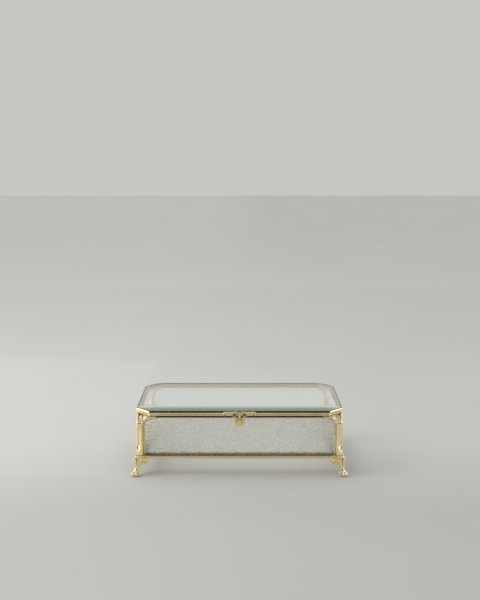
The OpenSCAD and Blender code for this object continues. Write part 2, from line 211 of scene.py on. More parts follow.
def volute(centre, axis, radius, half, channel, turns=2.2, hand=1, square=3.2, count=96, rows=61):
    """A squared-off disc, |r/radius|^square + |h/half|^square = 1, whose two faces dip by channel
    along a spiral r = pitch·(angle + whole turns), and rise again to a round eye in the middle."""
    first, second, axis = axes_for(axis)
    angle = np.linspace(0, 2 * np.pi, count, endpoint=False)[None]
    slope = np.linspace(-np.pi / 2, np.pi / 2, rows)[:, None]
    r = radius * np.abs(np.cos(slope)) ** (2 / square) + 0 * angle
    h = half * np.sign(np.sin(slope)) * np.abs(np.sin(slope)) ** (2 / square) + 0 * angle
    pitch = radius / turns
    phase = (r / pitch - hand * angle / (2 * np.pi)) % 1.0
    groove = channel * np.exp(-(((phase - 0.5) / 0.2) ** 2))
    edge, eye, soft = 0.86 * radius, 0.24 * radius, 0.03 * radius
    window = 1 / (1 + np.exp((r - edge) / soft)) / (1 + np.exp((eye - r) / soft))
    h = h - np.sign(h) * groove * window
    spokes = np.cos(angle)[..., None] * first + np.sin(angle)[..., None] * second
    return shell(capped(np.array(centre, float) + r[..., None] * spokes + h[..., None] * axis))


def pebble(centre, radii, square=2.0, count=32, rows=25):
    """A rounded block: |x/a|^square + |y/b|^square + |z/c|^square = 1, on its two angles."""
    angle = np.linspace(0, 2 * np.pi, count, endpoint=False)[None]
    slope = np.linspace(-np.pi / 2, np.pi / 2, rows)[:, None]
    power = 2 / square

    def eased(value):
        return np.sign(value) * np.abs(value) ** power

    x = eased(np.cos(slope)) * eased(np.cos(angle))
    y = eased(np.cos(slope)) * eased(np.sin(angle))
    z = eased(np.sin(slope)) + 0 * angle
    return shell(np.array(centre, float) + np.stack([x, y, z], -1) * np.array(radii, float))


# %% [markdown]
# ## From shells to a piece
# A piece is a mesh with merged seams and outward faces, in metres, at the origin. A casting is
# several shells that run through each other: a voxel remesh fuses them into one skin and a little
# smoothing leaves the soft inner corners that a sand casting has.

# %% Make a piece
MERGE = 1e-6


def tidy_mesh(mesh):
    """Merges seams and poles, drops faces with no area and turns all faces outwards."""
    edit = bmesh.new()
    edit.from_mesh(mesh)
    bmesh.ops.remove_doubles(edit, verts=edit.verts, dist=MERGE)
    bmesh.ops.dissolve_degenerate(edit, dist=MERGE, edges=edit.edges)
    bmesh.ops.recalc_face_normals(edit, faces=edit.faces)
    edit.to_mesh(mesh)
    edit.free()


def fused(piece, voxel, softening):
    """Remeshes a piece's overlapping shells into one skin of voxel size mm, then smooths it."""
    fuse = piece.modifiers.new("fuse", "REMESH")
    fuse.mode = "VOXEL"
    fuse.voxel_size = voxel * MM
    soften = piece.modifiers.new("soften", "SMOOTH")
    soften.factor = 0.5
    soften.iterations = softening
    seen = piece.evaluated_get(bpy.context.evaluated_depsgraph_get())
    skin = bpy.data.meshes.new_from_object(seen)
    piece.modifiers.clear()
    piece.data = skin


def make_piece(name, part, material, body, nodes=(), voxel=None, softening=4, sharp=38):
    """A named piece from a shell in mm: it stands for the given nodes and rides on a body. Without
    a remesh, edges that turn by more than sharp degrees stay crisp."""
    mesh = bpy.data.meshes.new(name)
    mesh.from_pydata((part[0] * MM).tolist(), [], part[1].tolist())
    tidy_mesh(mesh)
    piece = bpy.data.objects.new(name, mesh)
    bpy.context.scene.collection.objects.link(piece)
    if voxel:
        fused(piece, voxel, softening)
    piece.data.shade_smooth()
    if not voxel:
        piece.data.set_sharp_from_angle(angle=math.radians(sharp))
    piece.data.materials.clear()
    piece.data.materials.append(material)
    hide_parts(*nodes)
    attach(piece, body)
    print(name, "faces:", len(piece.data.polygons))


# %% [markdown]
# ## The camera
# The camera stands about a metre in front of the box and a little above it, tilted down, with a
# moderately long lens. The box then sits low in the frame and shows its front and its lid.

# %% Camera
camera_data = bpy.data.cameras.new("camera")
camera_data.lens = 55.26
camera_data.sensor_width = 36
camera = bpy.data.objects.new("camera", camera_data)
camera.location = (0.0005, -1.009, 0.3326)
camera.rotation_euler = (math.radians(81.42), 0, 0)
bpy.context.scene.collection.objects.link(camera)
bpy.context.scene.camera = camera
bpy.context.scene.view_settings.view_transform = "Standard"
print("camera:", tuple(camera.location))


# %% [markdown]
# ## Node helpers
# A material is a small graph of nodes. A few helpers keep the graphs short: they add a node with its
# settings, noise in object coordinates, a step of arithmetic, and a mix of two colours or shaders.

# %% Node helpers
def new_material(name):
    """An empty material: its node tree and its output."""
    material = bpy.data.materials.new(name)
    material.use_nodes = True
    tree = material.node_tree
    tree.nodes.clear()
    return material, tree, tree.nodes.new("ShaderNodeOutputMaterial")


def add(tree, kind, settings=None, **inputs):
    """A node of a kind, with its settings and its inputs: a plain value is set, a socket is linked."""
    node = tree.nodes.new("ShaderNode" + kind)
    for key, value in (settings or {}).items():
        setattr(node, key, value)
    for key, value in inputs.items():
        socket = node.inputs[int(key[1:])] if key[1:].isdigit() else node.inputs[key.replace("_", " ")]
        if isinstance(value, bpy.types.NodeSocket):
            tree.links.new(value, socket)
        else:
            socket.default_value = value
    return node


def noise(tree, scale, detail=3.0, roughness=0.55):
    """Noise in object coordinates, whose scale counts features to the metre."""
    place = add(tree, "TexCoord").outputs["Object"]
    return add(
        tree, "TexNoise", Vector=place, Scale=scale, Detail=detail, Roughness=roughness
    ).outputs["Fac"]


def ramp(tree, value, low, high, from_low=0.3, from_high=0.7):
    """A value moved from one range to another, held at both ends."""
    return add(
        tree, "MapRange", {"clamp": True}, Value=value, From_Min=from_low, From_Max=from_high,
        To_Min=low, To_Max=high,
    ).outputs["Result"]


def blend_colour(tree, fac, first, second):
    """A mix of two colours."""
    return add(tree, "MixRGB", Fac=fac, Color1=first, Color2=second).outputs["Color"]


def math_of(tree, operation, first, second=0.0):
    """One arithmetic step between two values, held between 0 and 1."""
    settings = {"operation": operation, "use_clamp": True}
    return add(tree, "Math", settings, _0=first, _1=second).outputs[0]


def mixed(tree, fac, first, second):
    """A mix of two shaders: the first alone at nought, the second alone at one."""
    return add(tree, "MixShader", Fac=fac, _1=first, _2=second).outputs[0]


def object_place(tree):
    """The three object coordinates, in metres."""
    return add(tree, "SeparateXYZ", Vector=add(tree, "TexCoord").outputs["Object"]).outputs


def between(tree, value, low, high):
    """One where a value lies between two limits, and nought elsewhere."""
    above = math_of(tree, "GREATER_THAN", value, low)
    return math_of(tree, "MULTIPLY", above, math_of(tree, "LESS_THAN", value, high))


# %% [markdown]
# ## Brass
# The metal is polished pale brass under a thin lacquer. Real brass is never one colour: a brown patina
# stays in the hollows and edges are rubbed bright. Noise moves the colour and the polish a little,
# and an occlusion node finds the hollows and darkens them where fingers and cloths don't reach. That
# dark is partly patina and partly painted shade, where shade falls in creases. Some darkening follows
# a place and not a hollow: painted shade along the foot of the rim and along the arris of the lid
# frame, and a milder darkening of the rim inwards from its outer face. Such a band is given by its
# heights and depths.

# %% Brass
HAIR = 0.00001
CAST_GRAIN, DRAWN_GRAIN = 0.00002, 0.00001
WARMER = (0.93, 0.87, 0.74)
LACQUER, LACQUER_ROUGH = 0.25, 0.06


def band(tree, low, high, near, far):
    """One between two heights and two depths in from the case's four outer faces, all in mm."""
    place = object_place(tree)
    from_end = math_of(tree, "SUBTRACT", HALF_W * MM, math_of(tree, "ABSOLUTE", place["X"]))
    from_face = math_of(tree, "SUBTRACT", HALF_D * MM, math_of(tree, "ABSOLUTE", place["Y"]))
    depth = math_of(tree, "MINIMUM", from_end, from_face)
    inward = between(tree, depth, near * MM - HAIR, far * MM)
    return math_of(tree, "MULTIPLY", between(tree, place["Z"], low * MM, high * MM), inward)


def brass(name, bright, film_and_shade, polish, hollow_reach, film_and_shade_strength, grain=DRAWN_GRAIN, bands=()):
    """Polished brass: bright metal, a dark colour in its hollows that is partly patina and partly
    painted shade, cloudy polish and a fine cast grain. A band darkens a place: how much, between which
    heights, and between which depths."""
    material, tree, output = new_material(name)
    clouds = ramp(tree, noise(tree, 42.0, 4.0), 0.0, 1.0)
    warm = [part * share for part, share in zip(bright, WARMER)]
    metal = blend_colour(tree, clouds, (*bright, 1), (*warm, 1))
    # Occlusion darkens the hollows: partly patina, partly painted shade where shade falls in creases.
    hollow = add(tree, "AmbientOcclusion", {"samples": 6}, Distance=hollow_reach).outputs["AO"]
    depth = ramp(tree, hollow, film_and_shade_strength, 0.0, 0.35, 0.9)
    # Bands: painted shade at the rim's foot and the lid frame's arris, and a darkening of the rim's
    # inside.
    for left, low, high, near, far in bands:
        band_darkening = math_of(tree, "MULTIPLY", band(tree, low, high, near, far), left)
        depth = math_of(tree, "MAXIMUM", depth, band_darkening)
    colour = blend_colour(tree, depth, metal, (*film_and_shade, 1))
    rough = ramp(tree, noise(tree, 260.0, 3.0), polish, polish + 0.12)
    bumps = add(
        tree, "Bump", Strength=0.6, Distance=grain, Height=noise(tree, 900.0, 2.0)
    ).outputs["Normal"]
    shader = add(
        tree, "BsdfPrincipled", Base_Color=colour, Metallic=1.0, Roughness=rough, Normal=bumps,
        Coat_Weight=LACQUER, Coat_Roughness=LACQUER_ROUGH,
    ).outputs["BSDF"]
    tree.links.new(shader, output.inputs["Surface"])
    return material


cast_brass = brass(
    "cast brass", (0.99, 0.84, 0.53), (0.24, 0.15, 0.05), 0.14, 0.0012, 0.85, CAST_GRAIN
)
post_brass = brass(
    "post brass", (0.99, 0.85, 0.53), (0.30, 0.21, 0.07), 0.15, 0.0026, 0.6, CAST_GRAIN
)
# The pull and the scroll go nearly black in their hollows: patina deepened into painted shade.
pull_brass = brass(
    "pull brass", (0.90, 0.70, 0.38), (0.13, 0.07, 0.02), 0.16, 0.0019, 0.97, CAST_GRAIN
)
scroll_brass = brass(
    "scroll brass", (0.98, 0.84, 0.56), (0.08, 0.04, 0.01), 0.14, 0.0020, 0.92, CAST_GRAIN
)
drawn_brass = brass("drawn brass", (0.74, 0.64, 0.42), (0.30, 0.19, 0.06), 0.08, 0.0006, 0.6)
# The inner brass is paler and duller, with little dark in its hollows: its paleness is painted light,
# for the light on the fronts of the inner angles.
inner_brass = brass(
    "inner brass", (1.0, 0.98, 0.74), (0.70, 0.66, 0.40), 0.42, 0.0006, 0.15, CAST_GRAIN
)
print("brasses:", [m.name for m in (cast_brass, post_brass, pull_brass, scroll_brass, drawn_brass)])

# %% Brass with bands of painted shade
DARK_PATINA_AND_SHADE = (0.07, 0.047, 0.012)
FACE_METAL, ALL_THROUGH = 2.4, 100
# Painted shade: a dark band along the foot of the rim, for the shade under it.
rim_foot_painted_shade = (1.0, RIM_Z - 0.1, RIM_Z + 1.8, 0, FACE_METAL)
# The rim darkens a little inwards from its outer face.
rim_inside = (0.45, 0, LID_TOP, FACE_METAL, ALL_THROUGH)
# Painted shade: a dark line along the arris of the lid frame.
lid_arris_painted_shade = (0.9, LID_TOP - 0.2, LID_TOP + 0.1, 0, FACE_METAL)
rim_brass = brass(
    "rim brass", (1.0, 0.83, 0.51), DARK_PATINA_AND_SHADE, 0.08, 0.0005, 0.3, bands=[rim_foot_painted_shade, rim_inside]
)
lid_brass = brass("lid brass", (1.0, 0.82, 0.51), DARK_PATINA_AND_SHADE, 0.08, 0.0005, 0.3, bands=[lid_arris_painted_shade])
print("brasses with bands:", [m.name for m in (rim_brass, lid_brass)])


# %% [markdown]
# ## Pebbled glass
# The walls are rolled glass with a pebbled face, which scatters what is behind it. Rough refraction
# bends the view, a bump adds the fine ripple between the pebbles, and a little translucence stands
# for the light that such a face holds. Seen at a grazing angle the pebbles hide one another, so the
# haze grows there and turns faintly yellow. A dark line along the top of each pane is painted shade,
# for the shade under the rim. Lamp light and light bounced off dull things pass the glass nearly
# unhindered, so the inside isn't dark.

# %% Pebbled glass
GLASS_BEND = 1.5
PEBBLED_BODY, PEBBLED_TINT = (0.985, 0.99, 0.985, 1), (0.88, 0.89, 0.875)
FACING_GLOW, GRAZING_GLOW = (1.0, 1.0, 0.96, 1), (1.0, 0.98, 0.80, 1)
# A dark band painted on the top of each pane: painted shade under the rim.
RIM_SHADE_COLOUR, RIM_SHADE_H = (0.09, 0.07, 0.02, 1), 1.0


def lamps_pass(tree, surface, tint):
    """A surface that lamp light, and light bounced off dull things, pass straight through."""
    path = add(tree, "LightPath").outputs
    soft = math_of(tree, "MAXIMUM", path["Is Shadow Ray"], path["Is Diffuse Ray"])
    return mixed(tree, soft, surface, add(tree, "BsdfTransparent", Color=(*tint, 1)).outputs[0])


def pebbled_glass(name, rough, ripple, haze, grazing_haze):
    """Rough refracting glass with rippled normals, a haze that grows at a grazing view, soft shadows,
    and a line of painted shade under the rim."""
    material, tree, output = new_material(name)
    bumps = add(
        tree, "Bump", Strength=1.0, Distance=ripple, Height=noise(tree, 520.0, 3.0, 0.6)
    ).outputs["Normal"]
    clear = add(
        tree, "BsdfPrincipled", Base_Color=PEBBLED_BODY, Roughness=rough, IOR=GLASS_BEND,
        Transmission_Weight=1.0, Normal=bumps,
    ).outputs["BSDF"]
    grazing = ramp(tree, add(tree, "LayerWeight", Blend=0.5).outputs["Facing"], 0.0, 1.0, 0.45, 0.9)
    glow = blend_colour(tree, grazing, FACING_GLOW, GRAZING_GLOW)
    held = add(tree, "BsdfTranslucent", Color=glow, Normal=bumps).outputs[0]
    cloudy = ramp(tree, noise(tree, 640.0, 2.0), haze * 0.4, haze * 1.6)
    cloudy = math_of(tree, "MAXIMUM", cloudy, math_of(tree, "MULTIPLY", grazing, grazing_haze))
    surface = mixed(tree, cloudy, clear, held)
    # Painted shade: the top of the pane turns dark under the rim.
    painted_rim_shade = add(tree, "BsdfDiffuse", Color=RIM_SHADE_COLOUR).outputs[0]
    at_top = between(tree, object_place(tree)["Z"], (RIM_Z - RIM_SHADE_H) * MM, 1.0)
    surface = lamps_pass(tree, mixed(tree, at_top, surface, painted_rim_shade), PEBBLED_TINT)
    tree.links.new(surface, output.inputs["Surface"])
    return material


pebbled_wall = pebbled_glass("pebbled wall", 0.10, 0.0006, 0.24, 0.92)
print("pebbled glass:", pebbled_wall.name)

# %% [markdown]
# ## Clear glass
# A thick polished plate shifts what is behind it, so it has to refract. Light that comes in at a
# ground bevel is caught: it runs along inside the plate by total reflection, and leaves far away,
# green from all the glass on its way. Dozens of such bounces would end in black, so a ray that was
# reflected inside the plate is let out at the next face with a green tint for that long way. The tint
# is darker near the lid's long edges, where the bevel is, and nearly none over its flat middle; that
# darkening is painted shade, for the frame's shade on the bevel. The upright edges are left dull from
# the grinding. Lamp light and light bounced off dull things pass straight through, which keeps the
# inside bright.

# %% Clear glass
GROUND_EDGE = (0.085, 0.09, 0.065, 1)
STEEP = 0.5
DARK_TO, CLEAR_FROM = 14.5, 20.5


def clear_glass(name, tint, shaded_edge_tint, inner_tint):
    """Smooth refracting glass with dull ground edges. Light reflected inside leaves with
    shaded_edge_tint near the plate's long edges, a darker tint that is painted shade, and with
    inner_tint further in."""
    material, tree, output = new_material(name)
    glass = add(
        tree, "BsdfPrincipled", Base_Color=(*tint, 1), Roughness=0.0, IOR=GLASS_BEND,
        Transmission_Weight=1.0,
    ).outputs["BSDF"]
    normal = add(tree, "TexCoord").outputs["Normal"]
    upward = math_of(tree, "ABSOLUTE", add(tree, "SeparateXYZ", Vector=normal).outputs["Z"])
    edge = math_of(tree, "LESS_THAN", upward, STEEP)
    ground = add(tree, "BsdfDiffuse", Color=GROUND_EDGE).outputs[0]
    glass = mixed(tree, edge, glass, ground)
    inside = add(tree, "NewGeometry").outputs["Backfacing"]
    reflected = math_of(tree, "SUBTRACT", 1.0, add(tree, "LightPath").outputs["Is Transmission Ray"])
    caught = math_of(tree, "MULTIPLY", inside, reflected)
    from_middle = math_of(tree, "ABSOLUTE", object_place(tree)["Y"])
    # Painted shade near the long edges: the let-out tint darkens towards them.
    inner = ramp(tree, from_middle, 1.0, 0.0, (HALF_D - CLEAR_FROM) * MM, (HALF_D - DARK_TO) * MM)
    long_way_shaded = blend_colour(tree, inner, (*shaded_edge_tint, 1), (*inner_tint, 1))
    let_out = add(tree, "BsdfTransparent", Color=long_way_shaded).outputs[0]
    surface = lamps_pass(tree, mixed(tree, caught, glass, let_out), tint)
    tree.links.new(surface, output.inputs["Surface"])
    return material


BASE_GREEN = (0.52, 0.72, 0.60)
lid_plate = clear_glass("lid plate", (0.99, 0.995, 0.99), (0.36, 0.50, 0.40), (0.90, 1.00, 0.96))
base_plate = clear_glass("base plate", (0.99, 0.99, 0.985), BASE_GREEN, BASE_GREEN)
print("clear glasses:", lid_plate.name, base_plate.name)

# %% [markdown]
# ## Corners
# All four corners are alike. Each shape is worked out once for the front left corner, in a frame
# whose origin is the outer corner of the case and whose x and y run inward along the two walls.
# Mirroring that frame carries it to the other corners; the faces are turned outwards afterwards.

# %% Corner frames
SWAP_WALLS = [[0, 1, 0], [1, 0, 0], [0, 0, 1]]
OUT = (0, -1, 0)
CORNERS = {
    "front_left": (-1, -1), "front_right": (1, -1), "back_left": (-1, 1), "back_right": (1, 1),
}


def at_corner(part, side, front):
    """Carries a shell from the corner frame to a corner: x becomes side·(half width − x), and y
    becomes front·(half depth − y)."""
    return moved(part, np.diag([-side, -front, 1]), (side * HALF_W, front * HALF_D, 0))


def both_walls(part):
    """A shell on the front wall, with its twin on the side wall."""
    return join(part, moved(part, SWAP_WALLS))


# %% [markdown]
# ## Corner posts
# A post is a casting with two beads, a flute between them, and two arcs that carry the beads over
# into the top rim. The body could be an extruded outline with a boolean groove. It is made instead
# as a height × angle surface about its inner corner, because the flute is then one more limit on the
# radius. Its upper end is a half ball, as a ball cutter leaves it, and its lower end runs out long
# and shallow. At the very top the body draws in to a round shoulder between the arcs.

# %% Corner posts
BEAD_R = 1.3
BEAD_LINE = 5.7
ARC_R, ARC_X, ARC_Z = 11.3, 17.0, 53.1
CROTCH_TOP, SHOULDER = ARC_Z + 7.0, 3.0
FLUTE_R, FLUTE_AT = 4.3, 0.6
FLUTE_RUN = 2.2 * FLUTE_R
FLUTE_LOW, FLUTE_HIGH = RAIL_TOP + 3.6 + FLUTE_RUN, ARC_Z - 0.6 - FLUTE_R
POST_INNER, POST_FACE, POST_ROUND = 5.5, 5.3, 6.6
SHOULDER_CUT = 0.9
BEAD_RUN_OUT, BEAD_TIP, RUN_POINTS = (6.0, 0, 0.9), 0.5, 16


def post_body():
    """Radius about the inner corner: the least of two flat faces, a round, and the flute's circle,
    which shrinks as a long half egg below the flute and as a half ball above it. The shoulder
    between the arcs draws in as a quarter round."""
    z = np.linspace(RAIL_TOP, CROTCH_TOP, 190)[:, None]
    angle = np.radians(np.linspace(180, 270, 61))[None]
    to_end, to_front = np.abs(np.cos(angle)).clip(0.05), np.abs(np.sin(angle)).clip(0.05)
    flat = np.minimum(POST_FACE / to_end, POST_FACE / to_front)
    beyond = np.maximum(0, np.maximum((FLUTE_LOW - z) / FLUTE_RUN, (z - FLUTE_HIGH) / FLUTE_R))
    flute_r = FLUTE_R * np.sqrt(np.maximum(1 - beyond**2, 0))
    reach = (POST_INNER - FLUTE_AT) * math.sqrt(2)
    turn = angle - np.radians(225)
    inside = flute_r**2 - (reach * np.sin(turn)) ** 2
    flute = np.where(inside > 0, reach * np.cos(turn) - np.sqrt(np.maximum(inside, 0)), 99.0)
    r = np.minimum(np.minimum(flat, POST_ROUND), flute)
    drawn_in = np.maximum(0, z - CROTCH_TOP + SHOULDER) / SHOULDER
    r = r * np.sqrt(np.maximum(1 - SHOULDER_CUT * drawn_in**2, 0))
    x, y = POST_INNER + r * np.cos(angle), POST_INNER + r * np.sin(angle)
    ring = np.stack([x, y, z + 0 * x], -1)
    inner = np.stack([0 * z + POST_INNER, 0 * z + POST_INNER, z], -1)
    return shell(capped(np.concatenate([ring, inner], axis=1)))


def post_bead():
    """A round bead up the edge of a post, over along a quarter arc to its crown, and on along the
    underside of the rim, where it thins out and sinks in."""
    upright = np.linspace([BEAD_LINE, BEAD_R, RAIL_TOP], [BEAD_LINE, BEAD_R, ARC_Z], 60)[:-1]
    over = arc((ARC_X, BEAD_R, ARC_Z), ARC_R, 180, 90, 44)
    crown = over[-1]
    run_out = np.linspace(crown, crown + BEAD_RUN_OUT, RUN_POINTS)[1:]
    path = np.concatenate([upright, over, run_out])
    thinning = np.linspace(BEAD_R, BEAD_TIP, RUN_POINTS)
    width = np.concatenate([np.full(len(path) - RUN_POINTS, BEAD_R), thinning])
    return carried(path, OUT, round_section(28), width)


post = join(post_body(), both_walls(post_bead()))
for corner, (side, front) in CORNERS.items():
    make_piece(
        f"{corner}_post_casting", at_corner(post, side, front), post_brass, "case",
        [f"{corner}_post"], voxel=0.2, softening=2,
    )

# %% [markdown]
# ## Rails, rim and lid frame
# These are drawn sections bent or mitred round the case. A section carried round a clipped rectangle
# needs no bend: each point of the section draws its own octagon, moved in by its depth from the
# outer face. Small rounds on the outer edges catch the light as filed edges do.

# %% Sections round the case
def clipped_rectangle(inset, out=0.0):
    """The case's outline moved in by inset and lengthened by out at each end: a clip shrinks by
    inset·(2 − √2) so that it stays parallel."""
    inset = np.asarray(inset, float)
    x, y = HALF_W + out - inset, HALF_D - inset
    c = CORNER_CLIP - inset * (2 - math.sqrt(2))
    xs = [-x + c, x - c, x, x, x - c, -x + c, -x, -x]
    ys = [-y, -y, -y + c, y - c, y, y, y - c, -y + c]
    return np.stack([np.stack(xs, -1), np.stack(ys, -1)], -1)


def framed(profile, wrap=True, out=0.0):
    """A section of (depth, height) carried round the clipped rectangle."""
    profile = np.array(profile, float)
    outline = clipped_rectangle(profile[:, 0], out)
    heights = np.repeat(profile[:, 1][:, None, None], outline.shape[1], axis=1)
    points = np.concatenate([outline, heights], -1)
    return shell(points if wrap else capped(points), wrap_rows=wrap)


def rounded(centre_depth, centre_height, radius, start, end, count=7):
    """Points of a round edge in a section, from one angle in degrees to another."""
    angle = np.radians(np.linspace(start, end, count))
    return list(zip(centre_depth + radius * np.cos(angle), centre_height + radius * np.sin(angle)))


RIM_ROUND = 1.3
RIM_INNER = 6.9
rim_section = (
    [(RIM_INNER, RIM_TOP)]
    + rounded(RIM_ROUND, RIM_TOP - RIM_ROUND, RIM_ROUND, 90, 180, 12)
    + rounded(0.15, RIM_Z + 1.25, 0.15, 180, 270, 3)
    + [(0.8, RIM_Z + 1.1), (0.45, RIM_Z + 0.15)]
    + rounded(0.6, RIM_Z + 0.15, 0.15, 180, 270, 3)
    + [(RIM_INNER, RIM_Z)]
)
make_piece("top_rim_moulding", framed(rim_section), rim_brass, "case", ["top_rim"])

LID_WALL, LID_LEDGE = 1.6, 5.0
LID_LEDGE_TOP = glass_low[2]
LID_DRAFT = 0.4
lid_section = (
    [(LID_LEDGE, LID_Z), (LID_LEDGE, LID_LEDGE_TOP)]
    + [(LID_WALL, LID_LEDGE_TOP), (LID_WALL, LID_TOP - 0.15)]
    + rounded(LID_WALL - 0.15, LID_TOP - 0.15, 0.15, 0, 90, 4)
    + rounded(LID_DRAFT + 0.2, LID_TOP - 0.2, 0.2, 90, 172, 6)
    + rounded(0.25, LID_Z + 0.3, 0.25, 180, 270, 5)
)
lid_frame_part = framed(lid_section, out=LID_OUT)
make_piece("lid_frame_section", lid_frame_part, lid_brass, "lid", ["lid_frame"])

# %% [markdown]
# ## Base rails
# Each base rail is a straight section, mitred at both ends against its neighbours. The mitre needs no
# cutting: a point that lies deeper in the section simply ends that much sooner. The side rails are the
# front rail turned by a quarter.

# %% Base rails
RAIL_LIP, RAIL_LEDGE, LEDGE_TOP = 2.6, 12.1, FOOT_H + 1.2
rail_section = np.array(
    rounded(0.4, FOOT_H + 0.4, 0.4, 270, 180, 6)
    + rounded(0.5, RAIL_TOP - 0.5, 0.5, 180, 90, 7)
    + rounded(RAIL_LIP - 0.2, RAIL_TOP - 0.2, 0.2, 90, 0, 4)
    + [(RAIL_LIP, LEDGE_TOP), (RAIL_LEDGE, LEDGE_TOP), (RAIL_LEDGE, FOOT_H)]
)


def along_wall(section, half_length, depth):
    """A section of (depth, height) along the front wall, each end cut back by the point's depth."""
    reach = half_length - section[:, 0]
    x = np.array([[-1.0], [1.0]]) * reach
    y = np.broadcast_to(-depth + section[:, 0], x.shape)
    z = np.broadcast_to(section[:, 1], x.shape)
    return shell(capped(np.stack([x, y, z], -1)))


TURNS = {"front": (1, 0), "left": (0, -1), "back": (-1, 0), "right": (0, 1)}


def on_wall(part, wall):
    """Turns a shell from the front wall to another by a rotation about the vertical."""
    cos, sin = TURNS[wall]
    return moved(part, [[cos, -sin, 0], [sin, cos, 0], [0, 0, 1]])


def wall_size(wall):
    """Half the length of a wall, and its distance from the middle of the case."""
    return (HALF_W, HALF_D) if wall in ("front", "back") else (HALF_D, HALF_W)


for wall in TURNS:
    rail = on_wall(along_wall(rail_section, *wall_size(wall)), wall)
    make_piece(f"{wall}_rail_section", rail, drawn_brass, "case", [f"{wall}_base_rail"])

# %% [markdown]
# ## Pebbled walls
# Rolled pebbled glass has a plain back and a face of shallow, rounded cells. A bump map would leave
# the outline and the mesh flat, so the cells are real: every point of the face is pushed in by how
# far it lies from the nearest cell's middle. The middles are a jittered grid, so no point is far away.

# %% Pebbled walls
PANE_FRONT, PANE_BACK = 2.6, 5.4
PANE_STEP, PLAIN_EDGE = 0.6, 1.5
PEBBLE, PEBBLE_DEPTH, PEBBLE_REACH = 2.3, 0.24, 0.55
SHEET_W, SHEET_H = 260, 90
FIRST_SEED = 11


def pebbled_depth(x, z, seed):
    """Depth of the face: grows with the square of the distance to the nearest cell's middle."""
    cols, rows = int(SHEET_W / PEBBLE), int(SHEET_H / PEBBLE)
    jitter = np.random.default_rng(seed).uniform(0.0, 1.0, (cols, rows, 2))
    col, row = np.floor(x / PEBBLE + cols / 2).astype(int), np.floor(z / PEBBLE).astype(int)
    nearest = np.full(x.shape, np.inf)
    for shift_col, shift_row in np.ndindex(3, 3):
        c, r = col + shift_col - 1, row + shift_row - 1
        place = jitter[c % cols, r % rows]
        away_x, away_z = c - cols / 2 + place[..., 0] - x / PEBBLE, r + place[..., 1] - z / PEBBLE
        nearest = np.minimum(nearest, away_x**2 + away_z**2)
    return PEBBLE_DEPTH * np.clip(nearest / PEBBLE_REACH, 0, 1)


def pane(half_length, depth, seed):
    """Two faces over one outline: x = share · half width, which follows the arcs above their centre.
    The pebbles fade to a plain edge at the ends and under the rim."""
    plain = half_length - BEAD_LINE
    z = np.linspace(LEDGE_TOP, RIM_Z, int((RIM_Z - LEDGE_TOP) / PANE_STEP) + 1)
    bend = np.sqrt(np.maximum(ARC_R**2 - np.maximum(z - ARC_Z, 0) ** 2, 0))
    half = np.where(z > ARC_Z, half_length - ARC_X + bend, plain)
    share = np.linspace(-1, 1, int(2 * plain / PANE_STEP) + 1)
    x = half[:, None] * share[None]
    z = np.broadcast_to(z[:, None], x.shape)
    end_fade = np.minimum(1, (1 - np.abs(share)) * plain / PLAIN_EDGE)[None]
    fade = end_fade * np.minimum(1, (RIM_Z - z) / PLAIN_EDGE)
    front = np.stack([x, -depth + PANE_FRONT + fade * pebbled_depth(x, z, seed), z], -1)
    back = np.stack([x, np.full(x.shape, -depth + PANE_BACK), z], -1)
    sides = np.concatenate([front, back[:, ::-1]], axis=1)
    ends = [np.concatenate([sheet[i] for sheet in (front, back)]).reshape(2, -1, 3) for i in (0, -1)]
    return join(shell(sides), shell(ends[0], wrap_cols=False), shell(ends[1], wrap_cols=False))


for seed, wall in enumerate(TURNS):
    sheet = on_wall(pane(*wall_size(wall), seed + FIRST_SEED), wall)
    make_piece(
        f"{wall}_pebbled_pane", sheet, pebbled_wall, "case", [f"{wall}_pane"]
    )

# %% [markdown]
# ## Bevelled lid glass
# The lid is one thick plate whose border is ground to a wide, shallow bevel. It is drawn like the
# rim, as rings round the clipped rectangle: up the thin edge, in and up the bevel, and then closed
# flat across the middle. A hair of round on each ring keeps the arrises from looking knife sharp.

# %% Bevelled lid glass
GLASS_EDGE = lid_high[0] - glass_high[0]
BEVEL_W, BEVEL_H = 11.0, 2.2
GLASS_SEAT = 0.08
GLASS_Z, GLASS_TOP = glass_low[2] + GLASS_SEAT, glass_high[2]
EDGE_TOP = GLASS_TOP - BEVEL_H
lid_rings = (
    rounded(GLASS_EDGE + 0.2, GLASS_Z + 0.2, 0.2, 270, 180, 4)
    + rounded(GLASS_EDGE + 0.25, EDGE_TOP - 0.2, 0.25, 180, 101, 4)
    + [(GLASS_EDGE + BEVEL_W - 0.25, GLASS_TOP - 0.045), (GLASS_EDGE + BEVEL_W + 0.1, GLASS_TOP)]
)
make_piece(
    "bevelled_lid_plate", framed(lid_rings, False, LID_OUT), lid_plate, "lid",
    ["lid_glass"], sharp=5,
)

# %% [markdown]
# ## Copies with filed edges
# The small fittings inside the case and the hinges have the right shape in the frame, but their
# edges are perfectly sharp. A copy with merged points takes a small bevel modifier, which is what
# a file or a tumbler does to a real fitting.

